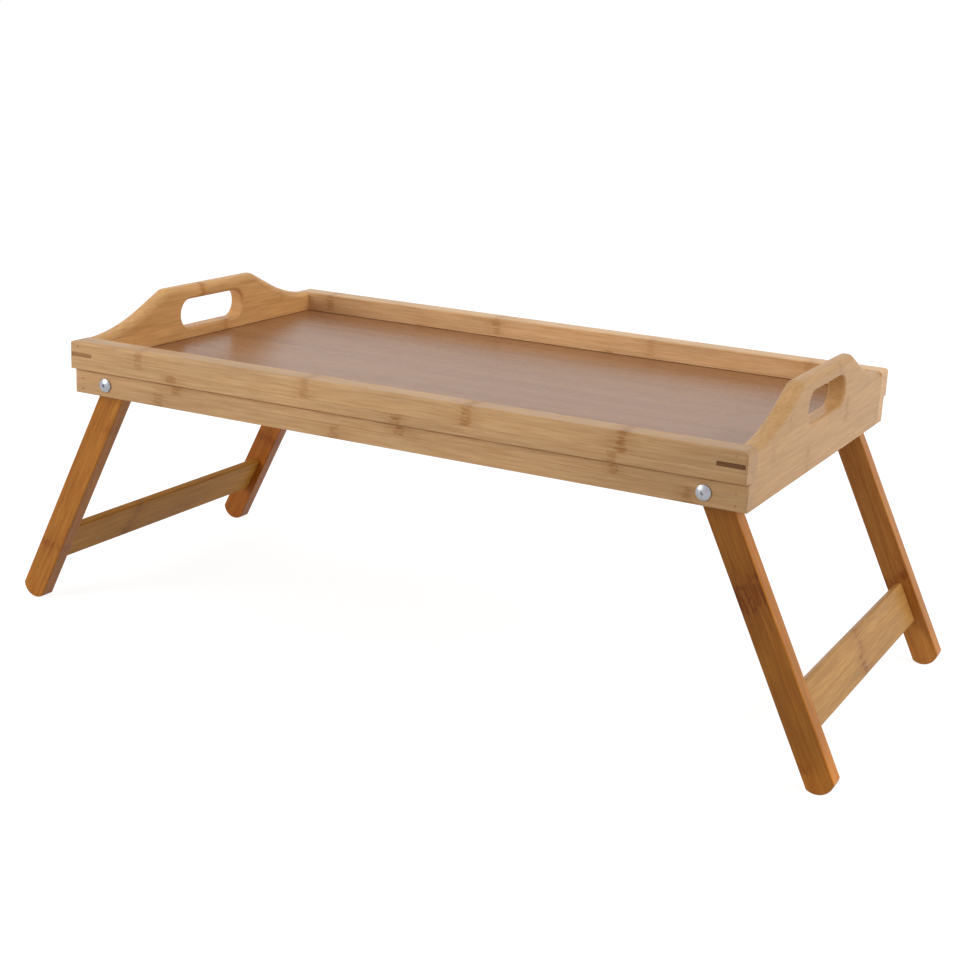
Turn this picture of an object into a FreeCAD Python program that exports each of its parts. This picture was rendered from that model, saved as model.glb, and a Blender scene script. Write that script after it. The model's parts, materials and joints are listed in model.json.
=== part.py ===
import FreeCAD, Part

import math
import os

from FreeCAD import Vector

# Bamboo bed tray table: a shallow tray with two raised hand grips, carried on two
# leg frames that fold under it. The frames are shown unfolded, on their stops.
# Frame: +X along the tray's length, +Y to the back, +Z up. The origin lies on the
# surface that the feet stand on, under the middle of the tray. All sizes are in mm.

# ---------------------------------------------------------------- driving dimensions
tray_length = 500.0          # over the ends of the rails
tray_width = 300.0           # over the upper bands of the two rails

rail_height = 38.0
rail_thickness = 17.0        # at the upper band
band_height = 20.0           # upper band, proud of the lower one
band_step = 5.0
rail_top_radius = 2.0
rail_edge_radius = 1.0
rail_foot_radius = 0.5       # inner lower edge
rail_corner_radius = 1.5     # upright outer edges at the rail's ends
rail_end_radius = 3.5        # upper edges of the rail's ends

board_thickness = 12.0       # end boards, with the hand grips
grip_rise = 25.0             # crest of the grip above the rails
crest_length = 108.0
ramp_run = 51.0              # plan length of one straight ramp, crest to foot
ramp_foot_rise = 2.0         # foot of the ramp above the rails
knee_radius = 9.0
board_edge_radius = 5.0
hand_hole_length = 78.0
hand_hole_height = 21.5
hand_hole_rise = 4.0         # centre of the hole above the rails
hole_edge_radius = 2.0
run_out_share = 0.97         # of the slope beside a ramp, taken up by its hollow curve

panel_thickness = 4.0
panel_drop = 15.0            # panel's top face below the top of the rails
groove_depth = 5.0
groove_play = 0.3            # room for the panel to swell, above and at its edges

leg_width = 19.0
leg_thickness = 12.0
leg_reach = 196.0            # pivot to the tip of the foot, along the leg
leg_edge_radius = 1.0
foot_radius = 11.0
splay_angle = 26.0           # degrees from upright, with the frame on its stop
stop_gap = 0.3               # leg's outer edge to the end board that stops it
fold_gap = 1.0               # folded leg to the underside of the panel

stretcher_reach = 148.0      # pivot to the middle of the stretcher, along the leg
stretcher_width = 30.0
stretcher_thickness = 6.0
stretcher_setback = 1.0      # towards the inner side of the frame
stretcher_edge_radius = 1.5
tenon_length = 8.0

bolt_radius = 2.5
bolt_head_radius = 4.8
bolt_head_height = 2.2
bolt_head_rim = 0.9          # straight rim below the low dome
socket_width = 2.5           # across the flats of the hexagon
socket_depth = 1.0
rail_bore_play = 0.1
leg_bore_play = 0.05         # running clearance of the leg on its bolt
washer_radius = 6.5
washer_thickness = 0.5
side_play = 0.1              # leg to washer, and leg to nut
nut_radius = 5.0
nut_height = 5.5
nut_rim = 3.0
nut_socket_depth = 4.0

key_length = 17.8
key_height = 3.0
key_depth = 8.0
key_end_margin = 1.2         # wood left between the key and the rail's end
key_drop = 9.3               # middle of the key below the top of the rail
key_recess = 0.4

brad_radius = 0.8
brad_length = 24.0
brad_inset = 7.0             # from the rail's end
brad_recess = 0.3
brad_drops = (3.5, 27.0, 34.5)   # below the top of the rail, one each

overshoot = 1.0              # how far a cutting shape runs past the face it opens
touch = 1e-6                 # points nearer than this count as one place
edge_margin = 0.1            # slack around the edges that are picked for rounding

# ---------------------------------------------------------------- worked-out places
half_length = tray_length / 2
half_width = tray_width / 2
splay = math.radians(splay_angle)

pivot_drop = panel_drop + panel_thickness + fold_gap + leg_width / 2
stop_height = rail_height - pivot_drop
stop_run = (leg_width / 2 + stop_gap + stop_height * math.sin(splay)) / math.cos(splay)
pivot_x = half_length - board_thickness - stop_run

pivot_z = (leg_reach - foot_radius) * math.cos(splay) + foot_radius
rail_top = pivot_z + pivot_drop
rail_bottom = rail_top - rail_height
band_bottom = rail_top - band_height
panel_top = rail_top - panel_drop
panel_bottom = panel_top - panel_thickness

rail_inner_y = half_width - rail_thickness
lower_face_y = half_width - band_step
board_inner_x = half_length - board_thickness
leg_outer_y = rail_inner_y - washer_thickness - side_play
leg_inner_y = leg_outer_y - leg_thickness
nut_face_y = leg_inner_y - side_play

SIDES = (("left", -1), ("right", 1))
ROWS = (("front", -1), ("back", 1))


# ---------------------------------------------------------------- shape helpers
def box(x0, x1, y0, y1, z0, z1):
    low = Vector(min(x0, x1), min(y0, y1), min(z0, z1))
    return Part.makeBox(abs(x1 - x0), abs(y1 - y0), abs(z1 - z0), low)


def cylinder_y(x, z, y0, y1, radius):
    """Round bar along Y from y0 to y1."""
    start = Vector(x, min(y0, y1), z)
    return Part.makeCylinder(radius, abs(y1 - y0), start, Vector(0, 1, 0))


def rounded_face(corners, to_point):
    """Face inside a polygon whose corners are (u, v, radius), each rounded by its own
    tangent arc. to_point places a pair (u, v) in space."""
    count = len(corners)
    spans = []
    for i, (u, v, radius) in enumerate(corners):
        here = Vector(u, v, 0)
        before = Vector(*corners[i - 1][:2], 0) - here
        after = Vector(*corners[(i + 1) % count][:2], 0) - here
        before.normalize()
        after.normalize()
        if radius == 0:
            spans.append((here, None, here))
            continue
        half_angle = before.getAngle(after) / 2
        reach = radius / math.tan(half_angle)
        inward = before + after
        inward.normalize()
        middle = here + inward * (radius / math.sin(half_angle) - radius)
        spans.append((here + before * reach, middle, here + after * reach))

    def place(point):
        return to_point(point.x, point.y)

    edges = []
    for i, (start, middle, end) in enumerate(spans):
        if middle is not None:
            edges.append(Part.Arc(place(start), place(middle), place(end)).toShape())
        following = spans[(i + 1) % count][0]
        if end.distanceToPoint(following) > touch:
            edges.append(Part.LineSegment(place(end), place(following)).toShape())
    return Part.Face(Part.Wire(edges))


def fillet_where(solid, radius, wanted):
    """Round the edges whose middle point passes the test."""
    picked = []
    for edge in solid.Edges:
        middle = edge.valueAt((edge.FirstParameter + edge.LastParameter) / 2)
        if wanted(middle):
            picked.append(edge)
    return solid.makeFillet(radius, picked)


def mirrored(solid, side, row):
    """Copy of a piece made for the right and the back, placed on any corner."""
    if side < 0:
        solid = solid.mirror(Vector(0, 0, 0), Vector(1, 0, 0))
    if row < 0:
        solid = solid.mirror(Vector(0, 0, 0), Vector(0, 1, 0))
    return solid


def splayed(solid):
    """Turn a piece of the right leg frame out from upright, about its pivot."""
    turned = solid.copy()
    turned.rotate(Vector(pivot_x, 0, pivot_z), Vector(0, 1, 0), -splay_angle)
    return turned


# ---------------------------------------------------------------- tray
def key_space(recess):
    """Blind slot for a corner key, or the key itself, in the back right corner."""
    outer_end = half_length - key_end_margin
    middle = rail_top - key_drop
    return box(outer_end - key_length, outer_end,
               half_width - key_depth, half_width - recess,
               middle - key_height / 2, middle + key_height / 2)


def brad_faces():
    """Outer face and height of each brad in the back right corner."""
    places = []
    for drop in brad_drops:
        face = half_width if drop < band_height else lower_face_y
        places.append((face, rail_top - drop))
    return places


def brads():
    x = half_length - brad_inset
    pins = []
    for face, z in brad_faces():
        head = face - brad_recess
        pins.append(cylinder_y(x, z, head - brad_length, head, brad_radius))
    return pins


def brad_bores():
    """Bores for the brads, open at the rail's outer face."""
    x = half_length - brad_inset
    bores = []
    for face, z in brad_faces():
        end = face - brad_recess - brad_length
        bores.append(cylinder_y(x, z, end, face + overshoot, brad_radius))
    return bores


def panel_groove():
    """Space that the panel's edges need in the rails and boards."""
    return box(board_inner_x + groove_depth, -board_inner_x - groove_depth,
               rail_inner_y + groove_depth, -rail_inner_y - groove_depth,
               panel_bottom, panel_top + groove_play)


def rail():
    """Back rail: stepped section, with rounded corners and top edges at both ends."""
    section = rounded_face(
        [(half_width, rail_top, rail_top_radius),
         (half_width, band_bottom, rail_edge_radius),
         (lower_face_y, band_bottom, 0),
         (lower_face_y, rail_bottom, rail_edge_radius),
         (rail_inner_y, rail_bottom, rail_foot_radius),
         (rail_inner_y, rail_top, rail_edge_radius)],
        lambda y, z: Vector(-half_length, y, z))
    bar = section.extrude(Vector(tray_length, 0, 0))

    def plan(face_y, z0, z1):
        outline = rounded_face(
            [(-half_length, face_y, rail_corner_radius),
             (half_length, face_y, rail_corner_radius),
             (half_length, rail_inner_y, 0),
             (-half_length, rail_inner_y, 0)],
            lambda x, y: Vector(x, y, z0))
        return outline.extrude(Vector(0, 0, z1 - z0))

    rounded_corners = plan(half_width, band_bottom, rail_top).fuse(
        plan(lower_face_y, rail_bottom, band_bottom))
    elevation = rounded_face(
        [(-half_length, rail_bottom, 0),
         (-half_length, rail_top, rail_end_radius),
         (half_length, rail_top, rail_end_radius),
         (half_length, rail_bottom, 0)],
        lambda x, z: Vector(x, rail_inner_y, z))
    rounded_tops = elevation.extrude(Vector(0, rail_thickness, 0))
    bar = bar.common(rounded_corners).common(rounded_tops)

    cuts = [panel_groove()]
    for _, side in SIDES:
        cuts.append(cylinder_y(side * pivot_x, pivot_z, rail_inner_y - overshoot,
                               half_width + overshoot, bolt_radius + rail_bore_play))
        cuts.append(mirrored(key_space(0.0), side, 1))
        cuts += [mirrored(bore, side, 1) for bore in brad_bores()]
    return bar.cut(Part.makeCompound(cuts))


def end_board():
    """Right end board: a trapezoid grip with hollow runs, and a rounded hand hole."""
    crest_half = crest_length / 2
    crest = rail_top + grip_rise
    foot_y = crest_half + ramp_run
    foot_z = rail_top + ramp_foot_rise
    shoulder_run = rail_inner_y - foot_y
    bend = (math.atan2(crest - foot_z, ramp_run)
            - math.atan2(ramp_foot_rise, shoulder_run))
    run_out = run_out_share * math.hypot(shoulder_run, ramp_foot_rise)
    hollow_radius = run_out / math.tan(bend / 2)

    outline = rounded_face(
        [(-rail_inner_y, rail_bottom, 0),
         (-rail_inner_y, rail_top, 0),
         (-foot_y, foot_z, hollow_radius),
         (-crest_half, crest, knee_radius),
         (crest_half, crest, knee_radius),
         (foot_y, foot_z, hollow_radius),
         (rail_inner_y, rail_top, 0),
         (rail_inner_y, rail_bottom, 0)],
        lambda y, z: Vector(board_inner_x, y, z))
    board = outline.extrude(Vector(board_thickness, 0, 0))

    def on_face(middle):
        return min(abs(middle.x - x) for x in (board_inner_x, half_length)) < touch

    def top_edge(middle):
        clear_of_ends = abs(middle.y) < rail_inner_y - edge_margin
        return on_face(middle) and middle.z > rail_top - touch and clear_of_ends

    board = fillet_where(board, board_edge_radius, top_edge)

    hole_z = rail_top + hand_hole_rise
    end_radius = hand_hole_height / 2
    hole = rounded_face(
        [(-hand_hole_length / 2, hole_z - hand_hole_height / 2, end_radius),
         (-hand_hole_length / 2, hole_z + hand_hole_height / 2, end_radius),
         (hand_hole_length / 2, hole_z + hand_hole_height / 2, end_radius),
         (hand_hole_length / 2, hole_z - hand_hole_height / 2, end_radius)],
        lambda y, z: Vector(board_inner_x - overshoot, y, z))
    board = board.cut(hole.extrude(Vector(board_thickness + 2 * overshoot, 0, 0)))

    def hole_edge(middle):
        level = abs(middle.z - hole_z) < hand_hole_height / 2 + edge_margin
        beside = abs(middle.y) < hand_hole_length / 2 + edge_margin
        return on_face(middle) and level and beside

    board = fillet_where(board, hole_edge_radius, hole_edge)

    cuts = [panel_groove()]
    for _, row in ROWS:
        cuts += [mirrored(bore, 1, row) for bore in brad_bores()]
    return board.cut(Part.makeCompound(cuts))


def tray_panel():
    half_x = board_inner_x + groove_depth - groove_play
    half_y = rail_inner_y + groove_depth - groove_play
    return box(-half_x, half_x, -half_y, half_y, panel_bottom, panel_top)


# ---------------------------------------------------------------- leg frame
def stretcher_bar(half_span):
    """Flat bar between the back and front legs of the upright right frame."""
    middle_x = pivot_x - stretcher_setback
    middle_z = pivot_z - stretcher_reach
    half_t = stretcher_thickness / 2
    half_w = stretcher_width / 2
    section = rounded_face(
        [(middle_x - half_t, middle_z - half_w, stretcher_edge_radius),
         (middle_x - half_t, middle_z + half_w, stretcher_edge_radius),
         (middle_x + half_t, middle_z + half_w, stretcher_edge_radius),
         (middle_x + half_t, middle_z - half_w, stretcher_edge_radius)],
        lambda x, z: Vector(x, -half_span, z))
    return section.extrude(Vector(0, 2 * half_span, 0))


def stretcher():
    return splayed(stretcher_bar(leg_inner_y + tenon_length))


def leg():
    """Back leg of the right frame: round at the pivot, blunt round foot."""
    half_w = leg_width / 2
    foot_centre = pivot_z - leg_reach + foot_radius
    foot_corner = foot_centre - math.sqrt(foot_radius ** 2 - half_w ** 2)
    y = leg_inner_y

    def at(x, z):
        return Vector(pivot_x + x, y, z)

    edges = [
        Part.LineSegment(at(-half_w, foot_corner), at(-half_w, pivot_z)).toShape(),
        Part.Arc(at(-half_w, pivot_z), at(0, pivot_z + half_w),
                 at(half_w, pivot_z)).toShape(),
        Part.LineSegment(at(half_w, pivot_z), at(half_w, foot_corner)).toShape(),
        Part.Arc(at(half_w, foot_corner), at(0, foot_centre - foot_radius),
                 at(-half_w, foot_corner)).toShape(),
    ]
    bar = Part.Face(Part.Wire(edges)).extrude(Vector(0, leg_thickness, 0))

    def long_edge(middle):
        return min(abs(middle.y - leg_inner_y), abs(middle.y - leg_outer_y)) < touch

    bar = fillet_where(bar, leg_edge_radius, long_edge)
    bore = cylinder_y(pivot_x, pivot_z, leg_inner_y - overshoot,
                      leg_outer_y + overshoot, bolt_radius + leg_bore_play)
    mortise = stretcher_bar(leg_inner_y + tenon_length)
    return splayed(bar.cut(Part.makeCompound([bore, mortise])))


# ---------------------------------------------------------------- pivot hardware
def dome(radius, rim, height, face_y, outward):
    """Low round head that stands on face_y: a straight rim under a shallow dome."""
    rise = height - rim
    sphere_radius = (radius ** 2 + rise ** 2) / (2 * rise)
    top_y = face_y + outward * height
    centre = Vector(pivot_x, top_y - outward * sphere_radius, pivot_z)
    body = cylinder_y(pivot_x, pivot_z, face_y, top_y, radius)
    return body.common(Part.makeSphere(sphere_radius, centre))


def pivot_bolt():
    """Bolt through the back right pivot, with a small hexagon socket in its head."""
    head = dome(bolt_head_radius, bolt_head_rim, bolt_head_height, lower_face_y, 1)
    shank_end = nut_face_y - nut_socket_depth
    bolt = head.fuse(cylinder_y(pivot_x, pivot_z, shank_end, lower_face_y, bolt_radius))
    across_corners = socket_width / math.cos(math.radians(30))
    top_y = lower_face_y + bolt_head_height
    corners = []
    for i in range(7):
        angle = math.radians(60 * i)
        corners.append(Vector(pivot_x + across_corners / 2 * math.cos(angle),
                              top_y - socket_depth,
                              pivot_z + across_corners / 2 * math.sin(angle)))
    socket = Part.Face(Part.makePolygon(corners)).extrude(
        Vector(0, socket_depth + overshoot, 0))
    return bolt.cut(socket).removeSplitter()


def leg_washer():
    outer = cylinder_y(pivot_x, pivot_z, rail_inner_y - washer_thickness, rail_inner_y,
                       washer_radius)
    inner = cylinder_y(pivot_x, pivot_z, rail_inner_y - washer_thickness - overshoot,
                       rail_inner_y + overshoot, bolt_radius + rail_bore_play)
    return outer.cut(inner)


def cap_nut():
    """Round capped nut on the inner side of the leg, closed over the bolt's end."""
    cap = dome(nut_radius, nut_rim, nut_height, nut_face_y, -1)
    return cap.cut(cylinder_y(pivot_x, pivot_z, nut_face_y - nut_socket_depth,
                              nut_face_y + overshoot, bolt_radius))


# ---------------------------------------------------------------- assembly
def assembly():
    back_rail = rail()
    right_board = end_board()
    nodes = {
        "front_rail": mirrored(back_rail, 1, -1),
        "back_rail": back_rail,
        "left_end_board": mirrored(right_board, -1, 1),
        "right_end_board": right_board,
        "tray_panel": tray_panel(),
    }
    corner_pieces = {
        "corner_key": key_space(key_recess),
        "corner_brads": Part.makeCompound(brads()),
        "leg_washer": leg_washer(),
        "pivot_bolt": pivot_bolt(),
        "cap_nut": cap_nut(),
        "leg": leg(),
    }
    frame_bar = stretcher()
    for side_name, side in SIDES:
        nodes[side_name + "_stretcher"] = mirrored(frame_bar, side, 1)
        for row_name, row in ROWS:
            for piece_name, piece in corner_pieces.items():
                node = "_".join((piece_name, row_name, side_name))
                nodes[node] = mirrored(piece, side, row)
    return nodes


os.makedirs("parts", exist_ok=True)
for name, shape in assembly().items():
    shape.exportStep(os.path.join("parts", name + ".step"))
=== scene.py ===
import json
import math

import bpy
from mathutils import Matrix, Vector


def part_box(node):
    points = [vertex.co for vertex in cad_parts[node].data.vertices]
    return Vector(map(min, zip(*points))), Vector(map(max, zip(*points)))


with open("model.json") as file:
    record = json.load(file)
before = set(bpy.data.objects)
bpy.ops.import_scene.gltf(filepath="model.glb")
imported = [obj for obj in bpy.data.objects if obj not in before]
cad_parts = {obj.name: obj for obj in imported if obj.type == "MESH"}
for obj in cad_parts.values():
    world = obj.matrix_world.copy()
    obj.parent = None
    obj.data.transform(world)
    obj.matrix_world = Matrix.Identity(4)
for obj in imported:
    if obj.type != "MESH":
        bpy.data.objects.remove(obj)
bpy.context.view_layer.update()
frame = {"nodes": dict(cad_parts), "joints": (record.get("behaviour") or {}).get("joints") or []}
nodes = frame["nodes"]

# Looks of a bamboo bed tray table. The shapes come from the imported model, in metres,
# with +X along the tray, +Y to the back and +Z up. The materials work in millimetres.

# ---------------------------------------------------------------- places in the model
MM = 0.001                               # a millimetre, in metres
X, Y, Z = range(3)
SIDES = (("left", -1), ("right", 1))     # with the sign of X on that side
ROWS = ("front", "back")
MIDDLE = (0.0, 0.0, 0.0)
TRAY_ORIGIN = (0.0, 0.0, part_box("front_rail")[1].z)
BAND_LINE = -21.0                # height of the painted shade line just under the rails' upper band, from their top, in mm
OUTER_FACES = 140.0              # the rails' outer faces lie beyond this, either way, in mm

hinge = next(joint for joint in frame["joints"] if joint["name"] == "right_leg_fold")
PIVOT_X = hinge["pos_m"][X]
PIVOT_Z = hinge["pos_m"][Z]
# until it lies flat, a frame turns through its lean and a right angle
SPLAY = math.radians(hinge["range_deg"][1] - 90.0)


def srgb(red, green, blue):
    """Shader colour for a colour given in 0 to 255 steps."""
    def linear(step):
        value = step / 255.0
        return value / 12.92 if value <= 0.04045 else ((value + 0.055) / 1.055) ** 2.4
    return (linear(red), linear(green), linear(blue), 1.0)


def scaled(tones, red, green, blue):
    """The same tones with each channel's share of light changed."""
    share = (red, green, blue, 1.0)
    return tuple(tuple(c * k for c, k in zip(tone, share)) for tone in tones)


# ---------------------------------------------------------------- shader writing
class Writer:
    """Short ways to write shader nodes into a tree. Inputs are numbers or sockets."""

    def __init__(self, tree):
        self.tree = tree
        self.tree.nodes.clear()

    def add(self, kind, inputs=None, **settings):
        node = self.tree.nodes.new("ShaderNode" + kind)
        for key, value in settings.items():
            setattr(node, key, value)
        for key, value in (inputs or {}).items():
            if isinstance(value, bpy.types.NodeSocket):
                self.tree.links.new(value, node.inputs[key])
            else:
                node.inputs[key].default_value = value
        return node

    def math(self, operation, *values):
        return self.add("Math", dict(enumerate(values)), operation=operation).outputs[0]

    def distance(self, value, place):
        """How far value is from place, either way."""
        return self.math("ABSOLUTE", self.math("SUBTRACT", value, place))

    def smooth(self, value, start, end, low=0.0, high=1.0):
        """Goes smoothly from low to high while value goes from start to end."""
        return self.add("MapRange", {"Value": value, "From Min": start, "From Max": end,
                                     "To Min": low, "To Max": high},
                        interpolation_type="SMOOTHSTEP").outputs["Result"]

    def mix(self, amount, under, over):
        return self.add("Mix", {0: amount, 6: under, 7: over}, data_type="RGBA").outputs[2]

    def split(self, vector):
        return self.add("SeparateXYZ", {0: vector}).outputs

    def combine(self, x, y, z):
        return self.add("CombineXYZ", {0: x, 1: y, 2: z}).outputs[0]

    def shifted(self, vector, offset):
        return self.add("VectorMath", {0: vector, 1: offset}, operation="ADD").outputs[0]

    def stretched(self, vector, scales):
        return self.add("VectorMath", {0: vector, 1: scales},
                        operation="MULTIPLY").outputs[0]

    def noise(self, vector, scales, detail=2.0, roughness=0.5, distortion=0.0):
        return self.add("TexNoise", {"Vector": self.stretched(vector, scales),
                                     "Scale": 1.0, "Detail": detail,
                                     "Roughness": roughness,
                                     "Distortion": distortion}).outputs["Fac"]

    def seen_directly(self):
        """1 to the camera, in reflections and through glass, 0 where it lights a surface."""
        path = self.add("LightPath").outputs
        either = self.math("MAXIMUM", path["Is Glossy Ray"], path["Is Transmission Ray"])
        return self.math("MAXIMUM", path["Is Camera Ray"], either)


class Shader(Writer):
    """A material and its nodes."""

    def __init__(self, name):
        self.material = bpy.data.materials.new(name)
        self.material.use_nodes = True
        super().__init__(self.material.node_tree)

    def local(self, origin=MIDDLE, tilt=0.0):
        """Millimetres from origin, along axes turned by tilt about Y."""
        here = self.add("TexCoord").outputs["Object"]
        return self.add("Mapping", {"Vector": here, "Location": origin,
                                    "Rotation": (0.0, tilt, 0.0), "Scale": (MM, MM, MM)},
                        vector_type="TEXTURE").outputs[0]

    def surface(self, colour, roughness, height, relief, **fixed):
        """Principled surface. relief is how high the bump's full range is, in metres."""
        bump = self.add("Bump", {"Height": height, "Distance": relief, "Strength": 1.0})
        inputs = {"Base Color": colour, "Roughness": roughness, "Normal": bump.outputs[0]}
        skin = self.add("BsdfPrincipled", {**inputs, **fixed})
        self.add("OutputMaterial", {"Surface": skin.outputs[0]})
        return self.material


# ---------------------------------------------------------------- bamboo
# how fast each pattern of the cane changes, per mm along the grain, across the strips
# and through them
BROAD = (0.011, 0.07, 0.07)
STREAK = (0.030, 0.62, 0.62)
FIBRE = (0.055, 2.6, 2.6)
DASH = (0.13, 1.5, 1.5)
WANDER = (0.08, 0.34, 0.34)      # how a knuckle strays from a straight line
BLOT = (0.21, 0.62, 0.62)
WISP = (0.055, 0.75, 0.75)
SHADE_PATCHES = (0.035, 0.0, 0.0)
VESSELS = (0.01, 1.5, 1.5)

# all in mm
CANE_STEP = (61.0, 17.0)         # how far on in its cane each strip's grain starts
SEED_STEP = (37.0, 11.0, 5.0)    # the same for each step of a piece's seed
SEAM_HALF = 0.45                 # half as wide as the line along a seam
SHADE_LINE_HALF = 1.2                # the same for the painted shade line in the milled corner under the upper band
STRAY = 9.0                      # how far a knuckle's line strays in all
CORE_REACH = 4.6                 # how far its core goes, either way
HALO_REACH = 15.0                # the same for its halo
KNUCKLE_END = 19.0               # where its strength has run out
SCAR_PLACE = 2.4                 # from its middle to the scar
SCAR_HALF = 0.9                  # half as wide as the scar
FAR = 1000.0                     # beyond every knuckle

# how strongly seams and dashes take the darkest tone, and end faces the cut vessels'
SEAM_TINT = 0.16
DASH_TINT = 0.13
END_TINT = 0.17
BAMBOO_RELIEF = 0.06 * MM        # in metres, as are the other materials' reliefs


def strip_pattern(s, across, strips):
    """Number of the strip, its tone, and how much its seam shows."""
    seams, tones = strips
    index, tone, seam = 0.0, tones[0], 0.0
    for height, below, above in zip(seams, tones, tones[1:]):
        past = s.math("GREATER_THAN", across, height)
        index = s.math("ADD", past, index)
        tone = s.math("MULTIPLY_ADD", past, above - below, tone)
        near = s.smooth(s.distance(across, height), SEAM_HALF, 0.1)
        seam = s.math("MAXIMUM", near, seam)
    return index, tone, seam


def knuckle_marks(s, along, index, grain, knuckles):
    """How much of a knuckle shows: its soft halo, its brown core and the scar beside it."""
    wander = s.noise(grain, WANDER, detail=3.0, roughness=0.6)
    waved = s.math("MULTIPLY_ADD", wander, STRAY, s.math("SUBTRACT", along, STRAY / 2))
    blot = s.noise(grain, BLOT, roughness=0.55)
    wisp = s.noise(grain, WISP, roughness=0.6)
    nearest, force = FAR, 0.0
    for strip, place, strength, width in knuckles:
        away = s.math("DIVIDE", s.distance(waved, place), width)
        other = s.distance(index, strip)
        gap = s.math("MULTIPLY_ADD", other, FAR, away)
        nearest = s.math("MINIMUM", gap, nearest)
        own = s.smooth(gap, KNUCKLE_END, HALO_REACH, 0.0, strength)
        force = s.math("MAXIMUM", own, force)

    halo = s.math("MULTIPLY", s.smooth(nearest, HALO_REACH, 1.0), force)
    halo = s.math("MULTIPLY", halo, s.smooth(wisp, 0.40, 0.62, 0.08, 0.50))
    core = s.math("MULTIPLY", s.smooth(nearest, CORE_REACH, 0.4), force)
    mixed = s.math("MULTIPLY_ADD", blot, 0.50, s.math("MULTIPLY", wisp, 0.50))
    core = s.math("MULTIPLY", core, s.smooth(mixed, 0.40, 0.56, 0.15, 0.88))
    beside = s.distance(nearest, SCAR_PLACE)
    scar = s.math("MULTIPLY", s.smooth(beside, SCAR_HALF, 0.1), force)
    scar = s.math("MULTIPLY", scar, s.smooth(blot, 0.40, 0.56, 0.0, 0.50))
    return halo, core, scar


def painted_shade_line(s, across, through, grain, height):
    """Painted shade: a dark line, patchy in places, in the corner milled into the outer faces
    under the upper band, standing in for the shadow of its overhang.
    """
    outside = s.math("GREATER_THAN", s.math("ABSOLUTE", through), OUTER_FACES)
    near = s.smooth(s.distance(across, height), SHADE_LINE_HALF, 0.5)
    line = s.math("MULTIPLY", near, outside)
    patchy = s.smooth(s.noise(grain, SHADE_PATCHES, detail=3.0), 0.35, 0.65, 0.45, 0.90)
    return s.math("MULTIPLY", line, patchy)


def end_face(s, grain_axis, tilt):
    """1 on the faces that cut the grain across, 0 along it."""
    axis = Vector((0.0, 0.0, 0.0))
    axis[grain_axis] = 1.0
    axis = Matrix.Rotation(tilt, 3, "Y") @ axis
    normal = s.add("TexCoord").outputs["Normal"]
    facing = s.add("VectorMath", {0: normal, 1: axis}, operation="DOT_PRODUCT")
    return s.smooth(s.math("ABSOLUTE", facing.outputs["Value"]), 0.75, 0.97)


def bamboo(name, tones, origin, axes, strips, knuckles=(), tilt=0.0, seed=0.0,
           shade_line_height=None, contrast=1.0, gloss=1.28, tone_ramp=None):
    """Lacquered bamboo, glued up from strips.
    tones: pale body, deeper fibres, darkest marks and, where there are four, knuckles.
    axes: which local axes run along the grain, across the strips and through them.
    strips: the seams' heights from the lowest up, and the strips' shares of the tone.
    knuckles: (strip, place along the grain, strength, width) of each. crease: height of
    a dark line of painted shade in a milled corner, standing in for the shadow under the
    rails' upper band. gloss: the lacquer's index of refraction.
    fade: (start, end, share) of a change of tone along the grain; on the front rail and the legs
    this is painted light and shade."""
    s = Shader(name)
    pale, deep, dark = tones[:3]
    mark = tones[-1]
    here = s.split(s.local(origin, tilt))
    along, across, through = (here[axis] for axis in axes)
    index, tone, seam = strip_pattern(s, across, strips)

    # each strip is cut from another cane, so its grain starts elsewhere
    cane = s.combine(*(s.math("MULTIPLY", index, step) for step in CANE_STEP), 0.0)
    start = tuple(seed * step for step in SEED_STEP)
    grain = s.shifted(s.shifted(s.combine(along, across, through), start), cane)
    broad = s.noise(grain, BROAD, detail=3.0, roughness=0.6)
    streak = s.noise(grain, STREAK, detail=3.0, roughness=0.6)
    fibre = s.noise(grain, FIBRE, roughness=0.6)
    dash = s.smooth(s.noise(grain, DASH, detail=1.0), 0.62, 0.75)

    half = 0.5 * contrast
    body = s.mix(s.smooth(streak, 0.25, 0.75, 0.5 - half, 0.5 + half), pale, deep)
    body = s.mix(s.smooth(fibre, 0.45, 0.75, 0.0, half), body, deep)
    body = s.mix(s.math("MULTIPLY", dash, DASH_TINT * contrast), body, dark)
    body = s.mix(s.math("MULTIPLY", seam, SEAM_TINT), body, dark)

    core = 0.0
    if knuckles:
        halo, core, scar = knuckle_marks(s, along, index, grain, knuckles)
        for amount in (halo, core, scar):
            body = s.mix(amount, body, mark)
    # painted shade along the corner under the upper band
    if shade_line_height is not None:
        body = s.mix(painted_shade_line(s, across, through, grain, shade_line_height), body, mark)

    # end grain shows the cut vessels as dots
    end = end_face(s, axes[0], tilt)
    vessels = s.add("TexVoronoi", {"Vector": s.stretched(grain, VESSELS), "Scale": 1.0})
    cut = s.mix(s.smooth(vessels.outputs["Distance"], 0.38, 0.14, 0.0, 0.5), mark, dark)
    body = s.mix(s.math("MULTIPLY", end, END_TINT), body, cut)

    patch = s.smooth(broad, 0.25, 0.75, 1.0 + 0.09 * contrast, 1.0 - 0.10 * contrast)
    light = s.math("MULTIPLY", tone, patch)
    # painted light and shade: the tone ramps lighter or darker towards one end along the grain
    if tone_ramp is not None:
        ramp_start, ramp_end, share = tone_ramp
        ramped = s.smooth(along, ramp_start, ramp_end, 1.0, share)
        # the end faces keep the tone they have without it
        ramped = s.math("MULTIPLY_ADD", end, s.math("SUBTRACT", 1.0, ramped), ramped)
        light = s.math("MULTIPLY", light, ramped)
    colour = s.add("HueSaturation", {"Color": body, "Value": light}).outputs[0]

    rough = s.smooth(fibre, 0.3, 0.75, 0.34, 0.44)
    height = s.math("MULTIPLY_ADD", fibre, 0.5, s.math("MULTIPLY", streak, 0.5))
    height = s.math("MULTIPLY_ADD", core, 0.5, height)
    return s.surface(colour, rough, height, BAMBOO_RELIEF, IOR=gloss)


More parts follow.
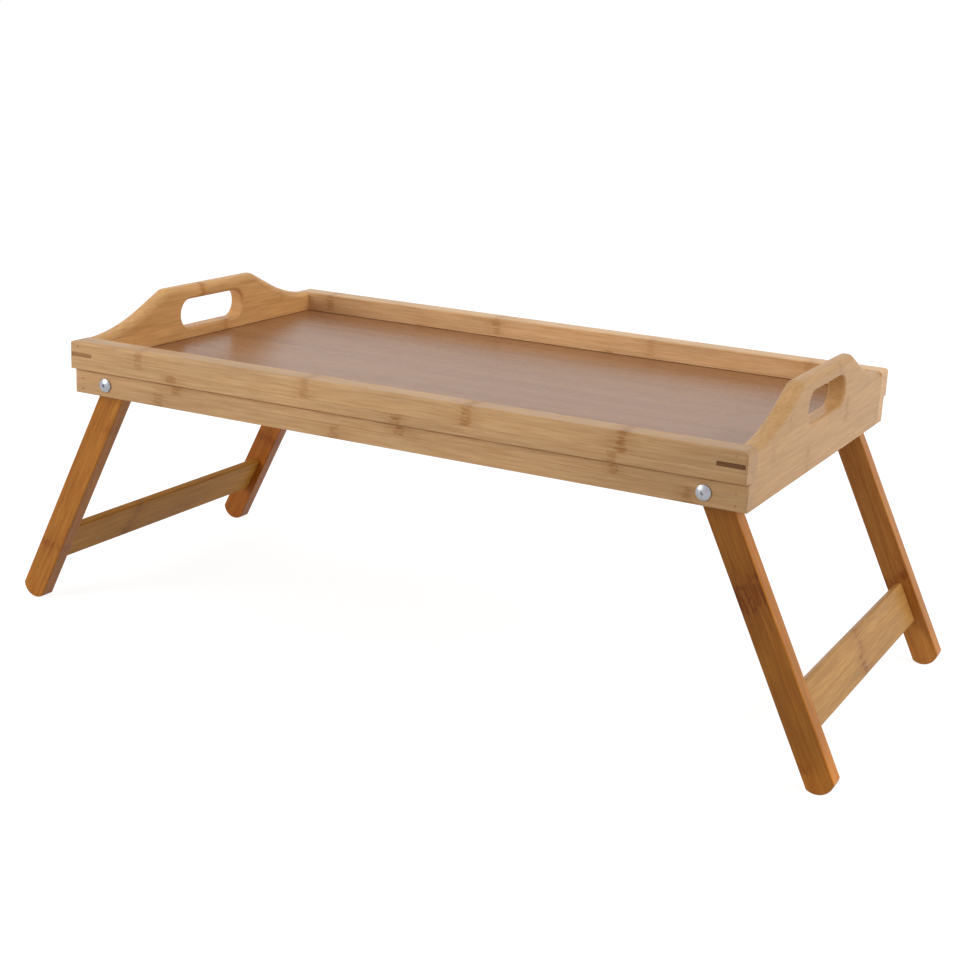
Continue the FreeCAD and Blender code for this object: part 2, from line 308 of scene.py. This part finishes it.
# ---------------------------------------------------------------- other materials
LAMINATE_PALE = srgb(162, 114, 74)
LAMINATE_DEEP = srgb(147, 99, 62)
LAMINATE_STREAK = srgb(116, 74, 46)
LAMINATE_LIGHT = srgb(168, 126, 90)
LAMINATE_PORE = srgb(92, 58, 38)
TURNED = 9000.0                  # noise steps per metre, from the middle of a bolt out
BLOOM = srgb(176, 172, 160)


def laminate(name):
    """Satin brown laminate with a printed straight grain along X."""
    s = Shader(name)
    here = s.local()
    bands = s.noise(here, (0.0045, 0.055, 0.0), detail=3.0, distortion=0.4)
    streak = s.noise(here, (0.010, 0.34, 0.0), detail=4.0, roughness=0.65, distortion=0.5)
    pores = s.noise(here, (0.05, 1.9, 0.0), roughness=0.6)
    colour = s.mix(s.smooth(bands, 0.3, 0.7), LAMINATE_PALE, LAMINATE_DEEP)
    colour = s.mix(s.smooth(streak, 0.50, 0.75, 0.0, 0.30), colour, LAMINATE_STREAK)
    colour = s.mix(s.smooth(streak, 0.44, 0.26, 0.0, 0.28), colour, LAMINATE_LIGHT)
    colour = s.mix(s.smooth(pores, 0.56, 0.72, 0.0, 0.15), colour, LAMINATE_PORE)
    rough = s.smooth(pores, 0.35, 0.7, 0.25, 0.36)
    return s.surface(colour, rough, pores, 0.03 * MM, IOR=1.42)


def metal(name, colour, roughness, grime):
    """Plated steel, turned: fine rings about the pivots, which mirror each other."""
    s = Shader(name)
    here = s.split(s.add("TexCoord").outputs["Object"])
    x = s.math("SUBTRACT", s.math("ABSOLUTE", here[X]), PIVOT_X)
    z = s.math("SUBTRACT", here[Z], PIVOT_Z)
    radius = s.math("SQRT", s.math("MULTIPLY_ADD", x, x, s.math("MULTIPLY", z, z)))
    rings = s.noise(s.combine(radius, 0.0, 0.0), (TURNED, 0.0, 0.0))
    blur = s.noise(s.local(), (0.5, 0.5, 0.5), detail=3.0)
    tint = s.mix(s.smooth(blur, 0.45, 0.75, 0.0, 0.5), colour, grime)
    rough = s.smooth(blur, 0.3, 0.7, roughness - 0.06, roughness + 0.08)
    return s.surface(tint, rough, rings, 0.004 * MM, Metallic=1.0)


def plastic(name, colour):
    """Plain moulded plastic with a faint bloom."""
    s = Shader(name)
    bloom = s.noise(s.local(), (0.7, 0.7, 0.7), detail=3.0)
    tint = s.mix(s.smooth(bloom, 0.3, 0.7, 0.0, 0.25), colour, BLOOM)
    return s.surface(tint, s.smooth(bloom, 0.3, 0.7, 0.42, 0.55), bloom, 0.02 * MM)


# ---------------------------------------------------------------- rails and end boards
RAIL_TONES = (srgb(208, 168, 122), srgb(188, 144, 97), srgb(134, 80, 38), srgb(156, 104, 50))
RAIL_AXES = (X, Z, Y)
RAIL_STRIPS = ((-28.0, -13.0), (0.98, 1.0, 1.02))
BOARD_AXES = (Y, Z, X)
BOARD_STRIPS = ((-20.0, -3.0, 13.0), (1.0, 1.02, 0.985, 1.01))

looks = {
    # painted shade: the front rail goes darker towards its right end, where less of the key
    # light falls
    "front_rail": bamboo(
        "bamboo_front_rail", RAIL_TONES, TRAY_ORIGIN, RAIL_AXES, RAIL_STRIPS, seed=1.0,
        shade_line_height=BAND_LINE, tone_ramp=(120.0, 245.0, 0.86),
        knuckles=((2, -190, 0.50, 1.0), (2, -54, 0.45, 1.0), (2, 66, 0.80, 1.1),
                  (2, 171, 0.90, 1.0), (1, -162, 0.60, 1.2), (1, 16, 0.95, 1.0),
                  (1, 165, 0.60, 1.0), (0, -177, 0.60, 1.2), (0, -33, 0.50, 1.3),
                  (0, 213, 0.60, 1.0))),
    # painted light: the rails' tones made paler here, for the back rail's inner face, lit
    # brighter than the front rail's outer face; its tone also goes darker towards its left end
    "back_rail": bamboo(
        "bamboo_back_rail", scaled(RAIL_TONES, 1.42, 1.48, 1.56), TRAY_ORIGIN, RAIL_AXES,
        RAIL_STRIPS, seed=2.3, shade_line_height=BAND_LINE, tone_ramp=(-60.0, -235.0, 0.86),
        knuckles=((2, -217, 0.6, 1.0), (2, -60, 0.6, 1.0), (2, 72, 0.35, 1.0),
                  (2, 196, 0.5, 1.0), (1, -130, 0.5, 1.0), (1, 38, 0.6, 1.0),
                  (1, 188, 0.4, 1.0), (0, -88, 0.5, 1.0), (0, 84, 0.6, 1.0))),
    "left_end_board": bamboo(
        "bamboo_left_board", scaled(RAIL_TONES, 1.28, 1.18, 0.95), TRAY_ORIGIN, BOARD_AXES,
        BOARD_STRIPS, seed=3.1,
        knuckles=((3, -13, 0.7, 0.9), (1, 17, 0.7, 0.9), (0, -74, 0.4, 1.0),
                  (0, 96, 0.4, 1.0), (2, 92, 0.3, 1.0))),
    "right_end_board": bamboo(
        "bamboo_right_board", scaled(RAIL_TONES, 1.02, 0.96, 0.80), TRAY_ORIGIN, BOARD_AXES,
        BOARD_STRIPS, seed=4.7, contrast=0.8,
        knuckles=((0, -32, 0.3, 1.0), (1, 48, 0.3, 1.0), (3, 24, 0.25, 1.0),
                  (2, -73, 0.2, 1.0), (1, -104, 0.2, 1.0))),
}

# ---------------------------------------------------------------- legs and stretchers
LEG_TONES = (srgb(181, 117, 42), srgb(156, 92, 26), srgb(98, 44, 8), srgb(122, 57, 8))
LEG_AXES = (Z, X, Y)
# each leg's share of each channel of those tones, then its outer strip's share of its
# tone (painted light, for the outer faces caught by the light), its foot's share (painted
# light, the foot mostly lighter out of the tray's shadow), and its knuckles
LEG_LOOKS = {
    "front_left": ((1.03, 1.06, 1.25), 1.30, 1.12,
                   ((1, -149, 0.6, 1.0), (2, -146, 0.5, 1.0), (2, -38, 0.4, 1.0))),
    "back_left": ((0.94, 0.80, 0.75), 1.30, 0.97,
                  ((1, -28, 0.5, 1.0), (2, -109, 0.5, 1.0), (1, -112, 0.5, 1.0))),
    "front_right": ((0.75, 0.75, 0.80), 1.85, 1.42,
                    ((0, -70, 0.95, 3.2), (1, -66, 0.95, 3.2), (0, -178, 0.4, 1.0))),
    "back_right": ((1.11, 1.18, 1.85), 1.25, 1.22,
                   ((0, -131, 0.6, 1.0), (1, -128, 0.7, 1.0), (0, -22, 0.4, 1.0))),
}
FOOT_START, FOOT_END = -158.0, -190.0    # where a leg's tone goes over to its foot's painted light (mostly lighter, out of the tray's shadow), in mm

STRETCHER_AXES = (Y, Z, X)
STRETCHER_STRIPS = ((-148.0,), (1.0, 1.03))
# each stretcher's tones, its gloss and its knuckles
STRETCHER_LOOKS = {
    "left": ((srgb(202, 143, 60), srgb(176, 120, 45), srgb(117, 72, 24), srgb(156, 96, 34)),
             1.18, ((0, -45, 0.9, 1.2), (1, -40, 0.7, 1.2))),
    "right": ((srgb(204, 153, 86), srgb(182, 129, 64), srgb(116, 68, 28), srgb(154, 98, 42)),
              1.25, ((0, -2, 0.9, 1.2), (1, 4, 0.7, 1.2))),
}


def leg_strips(side, outer):
    """Two strips and a paler one, of tone outer, along the edge that faces outward: painted
    light, for the outer faces caught by the light.
    """
    if side < 0:
        return (-8.7, 1.5), (outer, 1.0, 1.04)
    return (1.5, 8.7), (1.0, 1.04, outer)


for side_name, side in SIDES:
    pivot = (side * PIVOT_X, 0.0, PIVOT_Z)
    for k, row_name in enumerate(ROWS):
        corner = row_name + "_" + side_name
        share, outer, foot, knuckles = LEG_LOOKS[corner]
        looks["leg_" + corner] = bamboo(
            "bamboo_leg_" + corner, scaled(LEG_TONES, *share), pivot, LEG_AXES,
            leg_strips(side, outer), knuckles, tilt=-side * SPLAY,
            seed=6.0 + side + 0.7 * k, gloss=1.26, tone_ramp=(FOOT_START, FOOT_END, foot))
    tones, gloss, knuckles = STRETCHER_LOOKS[side_name]
    looks[side_name + "_stretcher"] = bamboo(
        "bamboo_stretcher_" + side_name, tones, pivot, STRETCHER_AXES, STRETCHER_STRIPS,
        knuckles, tilt=-side * SPLAY, seed=11.0 + side, gloss=gloss)

# ---------------------------------------------------------------- floor panel, keys and hardware
KEY_STRIPS = ((), (1.0,))
KEY_TONES = {
    "right": (srgb(128, 86, 48), srgb(96, 60, 32), srgb(60, 34, 18)),
    "left": (srgb(176, 130, 84), srgb(146, 100, 60), srgb(84, 52, 28)),
}
looks["tray_panel"] = laminate("panel_laminate")
steel = metal("bolt_steel", srgb(164, 166, 172), 0.34, srgb(126, 127, 133))
brad = metal("brad_steel", srgb(172, 130, 88), 0.60, srgb(140, 100, 64))
nylon = plastic("washer_nylon", srgb(224, 221, 212))
for side_name, side in SIDES:
    key = bamboo("key_bamboo_" + side_name, KEY_TONES[side_name], TRAY_ORIGIN, RAIL_AXES,
                 KEY_STRIPS, seed=15.0 + side)
    for row_name in ROWS:
        corner = row_name + "_" + side_name
        looks["corner_key_" + corner] = key
        looks["corner_brads_" + corner] = brad
        looks["leg_washer_" + corner] = nylon
        looks["pivot_bolt_" + corner] = steel
        looks["cap_nut_" + corner] = steel

for name, look in looks.items():
    nodes[name].material_slots[0].material = look

# ---------------------------------------------------------------- floor and light
WHITE = (1.0, 1.0, 1.0, 1.0)
FLOOR_HALF = 6.0                 # from the middle to each edge, in metres
FLOOR_SHADE = (0.30, 0.30, 0.30, 1.0)    # how much the floor's shadow shows to the camera
FLOOR_GLOW = 0.88                # light that makes the floor white where no shadow falls
AMBIENT = 0.42
AIM = (0.0, 0.0, 0.15)
# each lamp's place, the size of its disk and its power in watts
SOFTBOXES = {
    "key_softbox": ((-1.0, -1.42, 0.75), 0.9, 12.0),
    "side_softbox": ((2.3, 0.3, 1.5), 1.6, 22.0),
    "top_softbox": ((0.0, 0.5, 2.6), 2.0, 9.0),
}


def white_floor():
    """Pale floor. Seen by the camera it is white where no shadow falls on it."""
    s = Shader("floor_paper")
    paper = s.noise(s.local(), (0.02, 0.02, 0.02))
    shade = s.mix(s.smooth(paper, 0.3, 0.7), srgb(232, 232, 232), srgb(228, 228, 228))
    plain = s.add("BsdfDiffuse", {"Color": shade})
    seen = s.add("BsdfDiffuse", {"Color": FLOOR_SHADE})
    glow = s.add("Emission", {"Color": WHITE, "Strength": FLOOR_GLOW})
    both = s.add("AddShader", {0: seen.outputs[0], 1: glow.outputs[0]})
    pick = s.add("MixShader", {0: s.seen_directly(), 1: plain.outputs[0], 2: both.outputs[0]})
    s.add("OutputMaterial", {"Surface": pick.outputs[0]})
    return s.material


def studio_world(ambient):
    """White to the camera and in reflections, a plain soft light to everything else."""
    world = bpy.data.worlds.new("studio")
    world.use_nodes = True
    s = Writer(world.node_tree)
    light = s.add("Background", {"Color": WHITE, "Strength": ambient})
    seen = s.add("Background", {"Color": WHITE, "Strength": 1.0})
    pick = s.add("MixShader", {0: s.seen_directly(), 1: light.outputs[0], 2: seen.outputs[0]})
    s.add("OutputWorld", {"Surface": pick.outputs[0]})
    return world


def softbox(name, place, size, power):
    """Round area lamp that faces the tray."""
    lamp = bpy.data.lights.new(name, "AREA")
    lamp.shape = "DISK"
    lamp.size = size
    lamp.energy = power
    thing = bpy.data.objects.new(name, lamp)
    thing.location = place
    thing.rotation_euler = (Vector(AIM) - Vector(place)).to_track_quat("-Z", "Y").to_euler()
    bpy.context.scene.collection.objects.link(thing)


floor_corners = [(x * FLOOR_HALF, y * FLOOR_HALF, 0.0)
                 for x, y in ((-1, -1), (1, -1), (1, 1), (-1, 1))]
floor_mesh = bpy.data.meshes.new("floor")
floor_mesh.from_pydata(floor_corners, [], [(0, 1, 2, 3)])
floor_mesh.materials.append(white_floor())
floor = bpy.data.objects.new("floor", floor_mesh)
scene = bpy.context.scene
scene.collection.objects.link(floor)

scene.view_settings.view_transform = "Standard"
scene.world = studio_world(AMBIENT)
for name, (place, size, power) in SOFTBOXES.items():
    softbox(name, place, size, power)

# ---------------------------------------------------------------- camera
CAMERA_PLACE = (0.5495, -1.0597, 0.4471)
# how far it is turned to the left, tipped down and rolled
CAMERA_YAW, CAMERA_PITCH, CAMERA_ROLL = (math.radians(a) for a in (27.393, 15.597, 2.662))
SENSOR_WIDTH = 36.0              # and the lens, both in mm
LENS = 64.11
camera_data = bpy.data.cameras.new("camera")
camera_data.sensor_width = SENSOR_WIDTH
camera_data.lens = LENS
camera = bpy.data.objects.new("camera", camera_data)
turn = (Matrix.Rotation(CAMERA_YAW, 4, "Z")
        @ Matrix.Rotation(math.pi / 2 - CAMERA_PITCH, 4, "X")
        @ Matrix.Rotation(CAMERA_ROLL, 4, "Z"))
camera.matrix_world = Matrix.Translation(CAMERA_PLACE) @ turn
scene.collection.objects.link(camera)
scene.camera = camera
